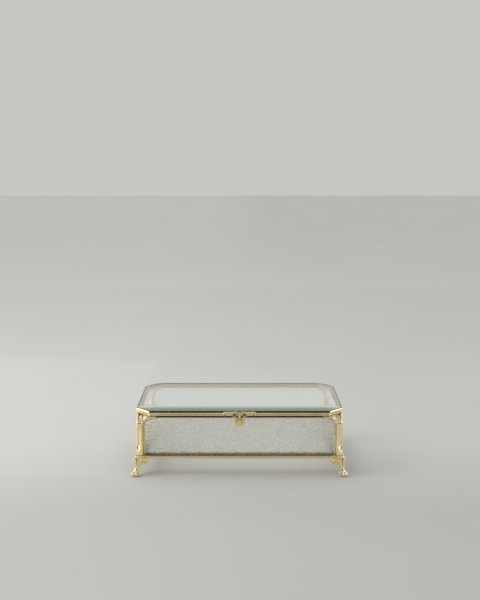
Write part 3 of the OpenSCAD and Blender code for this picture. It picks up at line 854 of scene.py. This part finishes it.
# %% Filed copies
def filed_copy(node, name, material, body, width=0.12):
    """A copy of a node with its loose triangles merged and its sharp edges bevelled."""
    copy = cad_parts[node].copy()
    copy.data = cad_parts[node].data.copy()
    copy.name = name
    copy.parent = None
    copy.matrix_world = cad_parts[node].matrix_world.copy()
    copy.hide_render = copy.hide_viewport = False
    for key in [key for key in copy.keys() if key.startswith("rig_")]:
        del copy[key]
    bpy.context.scene.collection.objects.link(copy)
    edit = bmesh.new()
    edit.from_mesh(copy.data)
    bmesh.ops.remove_doubles(edit, verts=edit.verts, dist=MERGE)
    bmesh.ops.dissolve_limit(edit, angle_limit=math.radians(1), verts=edit.verts, edges=edit.edges)
    edit.to_mesh(copy.data)
    edit.free()
    bevel = copy.modifiers.new("filed edges", "BEVEL")
    bevel.width = width * MM
    bevel.segments = 2
    bevel.limit_method = "ANGLE"
    bevel.angle_limit = math.radians(40)
    copy.data.shade_smooth()
    copy.data.set_sharp_from_angle(angle=math.radians(38))
    copy.data.materials.clear()
    copy.data.materials.append(material)
    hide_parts(node)
    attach(copy, body)


FITTINGS = {
    "angle": (inner_brass, "brass_inner", list(CORNERS)),
    "hinge_case_knuckles": (cast_brass, "brass", ["left", "right"]),
    "hinge_lid_knuckle": (cast_brass, "brass", ["left", "right"]),
    "hinge_pin": (drawn_brass, "brass", ["left", "right"]),
}
for kind, (material, slot_name, places) in FITTINGS.items():
    for place in places:
        rides_on = "lid" if kind == "hinge_lid_knuckle" else "case"
        filed_copy(f"{place}_{kind}", f"{place}_{kind}_filed", material, rides_on)
filed_copy("base_glass", "base_plate_filed", base_plate, "case", 0.2)

# %% [markdown]
# ## Glazing strips
# A strip along the foot of each pane holds it in its rail. It is bedded by hand, so its upper edge
# wanders a little. Its brass is dull and darker than the rest: painted shade, for the shade at the
# foot of the pane. The section is stepped along the wall, and two sines of different length lower its
# top here and there.

# %% Glazing strips
STRIP_EDGE, STRIP_SPREAD = 0.15, 0.8
LONG_WAVE, SHORT_WAVE = 19, 7.3
STRIP_GRAIN = 0.00003


def glazing_strip(length, depth_in, depth_out, low, high, half_depth):
    """A bar behind a pane. Its top is high − spread·(½ + ¼ sine of the long wave + ¼ sine of the
    short wave)."""
    x = np.linspace(-length / 2, length / 2, int(length) + 1)[:, None]
    slow, quick = np.sin(2 * np.pi * x / LONG_WAVE), np.sin(2 * np.pi * x / SHORT_WAVE + 1)
    top = high - STRIP_SPREAD * (0.5 + 0.25 * slow + 0.25 * quick)
    e = STRIP_EDGE
    depths = np.array([depth_in, depth_in, depth_in + e, depth_out - e, depth_out, depth_out])[None]
    rises = [low + 0 * top, top - e, top, top, top - e, low + 0 * top]
    z = np.concatenate(rises, axis=1)
    y = np.broadcast_to(-half_depth + depths, z.shape)
    return shell(capped(np.stack([np.broadcast_to(x, z.shape), y, z], -1)))


# Dark, dull brass for the strips: painted shade at the foot of the panes.
strip_shaded_brass = brass(
    "strip brass, painted shade", (0.62, 0.50, 0.26), (0.14, 0.11, 0.03), 0.3, 0.0008, 0.6, STRIP_GRAIN
)
strip_low, strip_high = box_mm("front_glazing_strip")
side_low, side_high = box_mm("left_glazing_strip")
STRIP_IN, STRIP_OUT = strip_low[1] + HALF_D, strip_high[1] + HALF_D
for wall in TURNS:
    low, high = (strip_low, strip_high) if wall in ("front", "back") else (side_low, side_high)
    span = high[0] - low[0] if wall in ("front", "back") else high[1] - low[1]
    bar = glazing_strip(span, STRIP_IN, STRIP_OUT, low[2], high[2], wall_size(wall)[1])
    make_piece(
        f"{wall}_bedded_strip", on_wall(bar, wall), strip_shaded_brass, "case",
        [f"{wall}_glazing_strip"],
    )

# %% [markdown]
# ## Studs and pin
# The studs that hold the feet, and the pin of the pull, are plain turned rods that hardly show. The
# frame's own shapes are right for them, so they only get their brass.

# %% Inner pins keep their frame shape
for node, material in {"foot_studs": inner_brass, "pull_pin": drawn_brass}.items():
    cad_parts[node].data.materials.clear()
    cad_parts[node].data.materials.append(material)
    print(node, "keeps its frame shape, in", material.name)

# %% [markdown]
# ## Feet
# Each foot is one casting: a cabriole leg that bends outward to a toe of a ball between two whorls,
# with an acanthus leaf up the corner and a wing along each wall that ends in a volute. Sculpting
# would give one foot by hand. Overlapping shells that are fused afterwards give the same soft casting
# from a few curves.

# %% Feet
DIAGONAL_OUT = (-1, -1, 0)
BALL_AT, BALL_R = -2.6, 3.1
WHORL_R, TOE_REACH = 2.85, 9.0
VOLUTE_X, VOLUTE_Z, VOLUTE_R = 9.1, 17.7, 4.5
WING_LEAVES = [
    ([(1.2, -0.9, 12.4), (3.0, -1.6, 16.0), (4.6, -1.8, 19.6), (7.2, -1.1, 21.8)], 1.55, 1.15),
    ([(0.3, -0.9, 12.2), (0.9, -1.5, 16.0), (1.8, -1.8, 19.6), (3.4, -1.0, 22.1)], 1.4, 1.15),
    ([(1.0, -1.0, 12.4), (3.6, -1.5, 14.6), (6.0, -1.4, 16.2), (8.4, -1.4, 16.9)], 1.0, 0.9),
    ([(8.6, -0.9, 21.3), (10.8, -1.2, 22.6), (13.0, -1.0, 21.4), (13.4, -0.7, 19.6)], 0.8, 0.7),
]


def leaf(controls, out, width, height, count=36, **shape):
    """A leaf blade: a veined section along a curve, as wide as the swelling from root to tip."""
    swell = swelling(count, **shape)
    return carried(bezier(controls, count), out, leaf_section(24), width * swell, height * swell**0.7)


def held_back(part, axis, limit):
    """A shell whose points are held behind a flat limit, as a casting's back lies flat on its wall."""
    points = part[0].copy()
    points[:, axis] = np.minimum(points[:, axis], limit)
    return points, part[1]


def on_diagonal(rows):
    """Rows of (distance along the diagonal in x and in y alike, height) as points."""
    rows = np.array(rows, float)
    return np.stack([rows[:, 0], rows[:, 0], rows[:, 1]], -1)


def cabriole_leg():
    """A leg along the diagonal: a Bezier curve whose radius swells at the knee and waists at the
    ankle, with eight shallow flutes round it that fade out towards the toe."""
    count = 60
    path = bezier(on_diagonal([(2.6, 19.5), (1.6, 15.5), (0.9, 9.5), (0.1, 6.6), (-0.9, 3.4)]), count)
    u = np.linspace(0, 1, count)
    radius = 2.05 + 2.3 * np.exp(-(((u - 0.18) / 0.30) ** 2)) + 0.7 * np.exp(-(((u - 1.0) / 0.16) ** 2))
    angle = np.linspace(0, 2 * np.pi, 64, endpoint=False)
    flutes = 1 + 0.07 * np.cos(8 * angle)[None] * np.exp(-(((u - 0.3) / 0.3) ** 2))[:, None]
    path_out = np.array(DIAGONAL_OUT) / math.sqrt(2)
    along = np.gradient(path, axis=0)
    across = np.cross(along, path_out)
    across /= np.linalg.norm(across, axis=1)[:, None]
    outward = np.cross(across, along)
    outward /= np.linalg.norm(outward, axis=1)[:, None]
    ring = radius[:, None] * flutes
    sideways, forward = np.cos(angle)[None, :, None], np.sin(angle)[None, :, None]
    spokes = sideways * across[:, None] + forward * outward[:, None]
    return shell(capped(path[:, None] + ring[..., None] * spokes))


def toe():
    """A toe of three lobes on a low pad: a ball at the corner, and beside it a whorl on each face."""
    ball = spun(
        (BALL_AT, BALL_AT, 0), (0, 0, 1),
        [(1.6, 0.0), (2.6, 0.7), (BALL_R, 2.2), (2.9, 3.4), (2.1, 4.5), (1.0, 5.1)],
    )
    whorl = volute((1.5, -2.5, WHORL_R), OUT, WHORL_R, 1.9, 0.75, turns=1.5, square=2.8)
    pad = spun(
        (-0.6, -0.6, 0), (0, 0, 1), [(3.4, 0.0), (3.9, 0.5), (3.9, 1.6), (3.0, 3.4), (2.0, 4.6)]
    )
    points, quads = join(ball, both_walls(whorl), pad)
    return np.maximum(points, [-TOE_REACH, -TOE_REACH, 0.0]), quads


def wing():
    """A wing on the front wall: a shield, a volute with its ribbon, and four leaves over them."""
    shield = pebble((3.6, -0.4, 17.2), (5.6, 1.5, 4.6), 2.4)
    curl = volute((VOLUTE_X, -0.75, VOLUTE_Z), OUT, VOLUTE_R, 1.5, 0.75, turns=2.0, hand=-1)
    ribbon = carried(
        bezier([(-0.6, -0.9, 9.6), (1.6, -1.0, 12.6), (4.4, -0.9, 13.0), (7.4, -0.7, 13.6)], 40),
        OUT, round_section(20), np.linspace(1.7, 0.5, 40), np.linspace(1.2, 0.5, 40),
    )
    leaves = [leaf(controls, OUT, width, height) for controls, width, height in WING_LEAVES]
    return held_back(join(shield, curl, ribbon, *leaves), 1, 0.0)


def corner_leaf():
    """The tall leaf up the corner, whose tip curls away from the post."""
    rise = on_diagonal([(-0.4, 10.6), (-1.5, 14.0), (-2.0, 17.6), (-1.4, 20.4), (-2.5, 22.2)])
    flank = on_diagonal([(-0.6, 11.6), (-1.6, 14.8), (-1.6, 17.2), (-1.9, 19.0)])
    spread = np.array([[0], [1.6], [2.6], [3.6]])
    lobes = [
        leaf(flank + np.array([0.5 * s, -0.5 * s, 0]) * spread, DIAGONAL_OUT, 0.9, 0.8)
        for s in (-1, 1)
    ]
    return join(leaf(rise, DIAGONAL_OUT, 2.0, 1.1, fullness=0.5, lean=0.6), *lobes)


def seat():
    """The block under the rails that the foot's stud goes into."""
    return pebble((3.1, 3.1, FOOT_H - 2.2), (4.4, 4.4, 2.2), 5.0)


foot = join(cabriole_leg(), toe(), corner_leaf(), seat(), both_walls(wing()))
for corner, (side, front) in CORNERS.items():
    make_piece(
        f"{corner}_foot_casting", at_corner(foot, side, front), cast_brass, "case",
        [f"{corner}_foot"], voxel=0.16, softening=3,
    )

# %% [markdown]
# ## The scroll and the drop pull
# The front of the lid carries a small cast scroll, a bar with turned beads that ends in a volute on
# either side, and beside the middle a shell cup under a swag. Between the cups hangs a hinged leaf.
# The scroll is fixed to the lid and the leaf turns on its own pin, so the two are separate castings
# on separate bodies. Both are built from the same turned, curved and leaf forms.

# %% The scroll
pull_low, pull_high = box_mm("drop_pull")
pin_low, pin_high = box_mm("pull_pin")
PIN_Y, PIN_Z = (pin_low[1] + pin_high[1]) / 2, (pin_low[2] + pin_high[2]) / 2
BARREL_HALF = pull_high[0] / 5.8 * 2.2
SCROLL_IN, SCROLL_END = BARREL_HALF + 0.3, 17.25
SCROLL_BACK = -HALF_D - 0.3
BEADS, BEAD_FULL, CURL_R = (9.6, 12.5), 1.95, 2.15
BEAD_PROFILE = [(0.6, -1.35), (0.88, -0.9), (1, 0), (0.88, 0.9), (0.6, 1.35)]
CUP_R = 2.75
CUP_X, CUP_BACK, CUP_Z = SCROLL_IN + CUP_R + 0.15, SCROLL_BACK - 0.6, PIN_Z - 1.0
CUP_DEEP, CUP_HOLLOW, CUP_RIBS = 3.3, 2.5, 14
FACE_RINGS, BACK_RINGS = 22, 8


def shell_cup(centre, radius):
    """A scalloped cup: a ribbed rim round a hollow. Depth = ridge at the edge, less a bowl inside."""
    angle = np.linspace(0, 2 * np.pi, 96, endpoint=False)[None]
    u = np.concatenate([np.linspace(0.02, 1, FACE_RINGS), np.linspace(1, 0.02, BACK_RINGS)])[:, None]
    face = np.arange(FACE_RINGS + BACK_RINGS)[:, None] < FACE_RINGS
    scallop = 1 + 0.06 * np.cos(CUP_RIBS * angle) * u
    r = radius * u * scallop
    ribs = 0.16 * np.cos(CUP_RIBS * angle) * u * (1 - u) * 4
    bowl = CUP_DEEP - CUP_HOLLOW * np.cos(np.pi * u / 2) ** 1.3 + ribs
    depth = np.where(face, bowl * (1 - 0.6 * np.clip((u - 0.86) / 0.14, 0, 1) ** 2), 0.0)
    x, z = centre[0] + r * np.cos(angle), centre[2] + r * np.sin(angle)
    return shell(capped(np.stack([x, centre[1] - depth, z], -1)))


def scroll_half():
    """Right half of the scroll: a beaded bar with its volute and back plate, and a shell cup with the
    swag and a crest leaf over it."""
    beads = [
        (BEAD_FULL * share, middle + away) for middle in BEADS for share, away in BEAD_PROFILE
    ]
    bar = [(1.0, CUP_X), *beads, (1.0, SCROLL_END - 2.4)]
    turned = spun((0, PIN_Y + 0.2, PIN_Z), (1, 0, 0), bar)
    end = volute(
        (SCROLL_END - CURL_R, PIN_Y + 0.1, PIN_Z - 0.2), OUT, CURL_R, 1.6, 0.8,
        turns=1.4, hand=-1, count=64,
    )
    back_x = (SCROLL_IN + SCROLL_END) / 2 - 1
    back = pebble((back_x, SCROLL_BACK - 0.35, PIN_Z), (7.0, 0.55, 1.2), 4.0)
    cup = shell_cup((CUP_X, CUP_BACK, CUP_Z), CUP_R)
    swag = carried(
        arc((CUP_X, CUP_BACK - CUP_DEEP + 0.3, CUP_Z), CUP_R + 0.1, 12, 168, 30),
        OUT, round_section(16), 0.62, 0.7,
    )
    crest = leaf(
        [(6.6, SCROLL_BACK - 0.9, PIN_Z + 0.6), (5.0, SCROLL_BACK - 1.2, PIN_Z + 1.8),
         (3.0, SCROLL_BACK - 1.3, PIN_Z + 2.0), (1.0, SCROLL_BACK - 0.7, PIN_Z + 2.2)],
        OUT, 0.75, 0.7, 24,
    )
    return join(turned, end, back, cup, swag, crest)


half = scroll_half()
scroll = join(half, moved(half, np.diag([-1, 1, 1])))
make_piece(
    "lid_scroll_casting", scroll, scroll_brass, "lid", ["pull_scroll"],
    voxel=0.12, softening=2,
)

# %% [markdown]
# ## The hanging leaf
# The pull is an acanthus leaf. The curves of its lobes are given once, for the right side, and their
# mirror image makes the left. A thin plate behind joins the lobes, as the web of a casting does.

# %% The drop pull
LEAF_Y = PIN_Y + 0.75
LEAF_TIP = pull_low[2] - PIN_Z
BARREL_PROFILE = [
    (1.1, 0.0), (1.45, 0.3), (1.45, 0.9), (1.2, 1.3), (1.2, 3.1), (1.45, 3.5), (1.45, 4.1), (1.1, 4.4),
]
PULL_LOBES = [
    ([(0.6, 0, -5.8), (3.0, 0.5, -5.7), (5.2, 0.4, -6.6), (5.6, 0, -9.2)], 1.2, 0.8),
    ([(0.5, 0, -6.8), (2.6, 0.5, -7.9), (4.8, 0.4, -9.4), (5.0, 0, -11.8)], 1.2, 0.8),
    ([(0.4, 0, -8.0), (1.9, 0.4, -9.4), (3.5, 0.3, -11.2), (3.0, 0, -13.6)], 1.05, 0.75),
]


def hung(rows, side=1):
    """Points of (across, outward, height) from the pin, on the right side or mirrored to the left."""
    return [(side * x, LEAF_Y - y, PIN_Z + z) for x, y, z in rows]


def pendant_leaf():
    """An acanthus leaf that hangs from a barrel: a stem, a middle blade and three lobes a side."""
    barrel = spun((-BARREL_HALF, PIN_Y, PIN_Z), (1, 0, 0), BARREL_PROFILE)
    stem = carried(
        np.linspace([0, LEAF_Y, PIN_Z], [0, LEAF_Y, PIN_Z - 5.6], 20), OUT, round_section(20),
        np.linspace(1.55, 1.1, 20), 0.8,
    )
    middle = hung([(0, 0, -4.2), (0, 0.5, -8.0), (0, 0.5, -11.0), (0, -0.2, LEAF_TIP)])
    blade = leaf(middle, OUT, 1.9, 0.95, 40)
    lobes = [
        leaf(hung(rows, side), OUT, width, height)
        for rows, width, height in PULL_LOBES
        for side in (-1, 1)
    ]
    plate = pebble((0, LEAF_Y + 0.1, PIN_Z - 8.6), (4.2, 0.5, 4.0), 2.2)
    return join(barrel, held_back(join(stem, blade, plate, *lobes), 1, LEAF_Y + 0.6))


make_piece(
    "drop_pull_casting", pendant_leaf(), pull_brass, "pull", ["drop_pull"],
    voxel=0.12, softening=2,
)

# %% [markdown]
# ## Floor
# The box stands on a plain pale floor. A little paint could be enough, but a floor that is lit by one
# window is never even: it darkens a little towards the viewer and to the right. That shade is put in
# the colour, for the camera only, so that the light it sends up into the metal stays as it is.

# %% Floor
FLOOR_COLOUR, FLOOR_CLOUDS = (0.590, 0.583, 0.560, 1), (0.575, 0.568, 0.545, 1)
BLACK = (0.0, 0.0, 0.0, 1)
BY_THE_BOX, IN_FRONT, ACROSS = (-0.16, 0.04), (-0.608, -0.352), (-0.25, 0.25)
NEAR_FADE = (-2.2, -0.9)
SPAN = 8.0


def flat_plane(name, corners, material):
    """A single quad from four corners, in metres."""
    mesh = bpy.data.meshes.new(name)
    mesh.from_pydata(corners, [], [(0, 1, 2, 3)])
    mesh.materials.append(material)
    plane = bpy.data.objects.new(name, mesh)
    bpy.context.scene.collection.objects.link(plane)
    return plane


def lying(x0, y0, x1, y1, z):
    """Corners of a level rectangle."""
    return [(x0, y0, z), (x1, y0, z), (x1, y1, z), (x0, y1, z)]


def floor_shade(tree):
    """How much the floor darkens: three ramps added, for the camera only and near the box only."""
    place = object_place(tree)
    by_the_box = ramp(tree, place["Y"], 0.14, 0.0, *BY_THE_BOX)
    in_front = ramp(tree, place["Y"], 0.12, 0.0, *IN_FRONT)
    across = ramp(tree, place["X"], 0.0, 0.06, *ACROSS)
    shade = math_of(tree, "ADD", by_the_box, math_of(tree, "ADD", in_front, across))
    direct = add(tree, "LightPath").outputs["Is Camera Ray"]
    shown = math_of(tree, "MULTIPLY", direct, ramp(tree, place["Y"], 0.0, 1.0, *NEAR_FADE))
    return math_of(tree, "MULTIPLY", shade, shown)


floor_paint, tree, output = new_material("floor paint")
clouds = ramp(tree, noise(tree, 3.0, 2.0), 0.0, 1.0)
floor_tone = blend_colour(tree, clouds, FLOOR_COLOUR, FLOOR_CLOUDS)
floor_tone = blend_colour(tree, floor_shade(tree), floor_tone, BLACK)
floor_shader = add(
    tree, "BsdfPrincipled", Base_Color=floor_tone, Roughness=0.9, Specular_IOR_Level=0.1
)
tree.links.new(floor_shader.outputs["BSDF"], output.inputs["Surface"])
flat_plane("floor", lying(-SPAN, -SPAN, SPAN, SPAN, 0), floor_paint)
print("floor, m:", 2 * SPAN, "square")

# %% [markdown]
# ## Cards round the box
# Polished metal only looks like metal when it has something to mirror. Lamps alone would leave hard
# spots, so large cards stand out of view, as in a studio: bright ones on both sides, a bright board
# on the floor at the left, a dimmer wall over a dark board behind, and a dark card and board in
# front, which draw the dark lines along the mouldings. Each side has two strips with a gap between
# them, so that the level lid, seen from the other side, mirrors neither. The cards show in
# reflections only.

# %% Cards that only reflections see
JUST_OVER, DARK_GLOW = 0.001, 0.02


def card(name, corners, strength):
    """A card that glows evenly and shows in reflections alone: rays bent by glass pass through it."""
    paint, tree, output = new_material(name)
    glow = add(tree, "Emission", Color=(1, 1, 1, 1), Strength=strength).outputs[0]
    bent = add(tree, "LightPath").outputs["Is Transmission Ray"]
    clear = add(tree, "BsdfTransparent", Color=(1, 1, 1, 1)).outputs[0]
    tree.links.new(mixed(tree, bent, glow, clear), output.inputs["Surface"])
    plane = flat_plane(name, corners, paint)
    plane.visible_camera = plane.visible_diffuse = False
    plane.visible_transmission = plane.visible_shadow = False


def upright(x0, y0, x1, y1, z0, z1):
    """Corners of an upright card between two places on the floor."""
    return [(x0, y0, z0), (x1, y1, z0), (x1, y1, z1), (x0, y0, z1)]


card("dark card", upright(-0.9, -0.9, 0.9, -0.9, JUST_OVER, 0.42), DARK_GLOW)
card("dark board", lying(-0.9, -0.9, 0.9, -0.55, JUST_OVER), DARK_GLOW)
card("back card", upright(-2.2, 2.0, 2.2, 2.0, 0.2, 1.2), 0.76)
card("back board", lying(-1.2, 0.42, 1.2, 1.4, JUST_OVER), DARK_GLOW)
for side, where, glow in (("left", -0.8, 2.0), ("right", 0.8, 1.7)):
    for height, low, high in (("low", JUST_OVER, 0.17), ("high", 0.45, 0.8)):
        card(f"{height} {side} card", upright(where, -0.7, where, 0.7, low, high), glow)
left_board = [(-0.9, -0.12), (-0.14, -0.06), (-0.14, 0.5), (-0.9, 0.6)]
card("left board", [(x, y, JUST_OVER) for x, y in left_board], 1.05)

# %% [markdown]
# ## Lamps and world
# A soft lamp high on the left models the metal, and a very wide sun fills in from above. Neither
# shows in a reflection, because a lamp mirrored in the flat lid would burn it white. The world lights
# the box evenly, and to the camera, mirrors and glass it looks like the floor going on.

# %% Lamps and world
def soft_lamp(name, place, aim, size, power, tint):
    """A square lamp aimed at a point."""
    data = bpy.data.lights.new(name, "AREA")
    data.size = size
    data.energy = power
    data.color = tint
    lamp = bpy.data.objects.new(name, data)
    lamp.location = place
    way = np.array(aim) - np.array(place)
    tilt, turn = math.atan2(math.hypot(way[0], way[1]), -way[2]), math.atan2(-way[0], way[1])
    lamp.rotation_euler = (tilt, 0, turn)
    lamp.visible_camera = lamp.visible_glossy = False
    bpy.context.scene.collection.objects.link(lamp)


soft_lamp("left lamp", (-1.2, -0.3, 1.1), (0, 0, 0.05), 0.9, 8.5, (1.0, 0.99, 0.97))
sun_data = bpy.data.lights.new("high soft light", "SUN")
sun_data.angle = math.radians(90)
sun_data.energy = 0.85
sun = bpy.data.objects.new("high soft light", sun_data)
sun.rotation_euler = (math.radians(-14), math.radians(-32), 0)
sun.visible_glossy = sun.visible_transmission = False
bpy.context.scene.collection.objects.link(sun)

world = bpy.data.worlds.new("studio")
world.use_nodes = True
sky = world.node_tree
sky.nodes.clear()
rays = add(sky, "LightPath").outputs
seen = math_of(sky, "MAXIMUM", rays["Is Camera Ray"], rays["Is Glossy Ray"])
seen = math_of(sky, "MAXIMUM", seen, rays["Is Transmission Ray"])
lighting = add(sky, "Background", Color=(1.0, 0.995, 0.98, 1), Strength=0.66).outputs[0]
backdrop = add(sky, "Background", Color=(0.575, 0.570, 0.545, 1), Strength=1.0).outputs[0]
studio = mixed(sky, seen, lighting, backdrop)
sky.links.new(studio, sky.nodes.new("ShaderNodeOutputWorld").inputs["Surface"])
bpy.context.scene.world = world
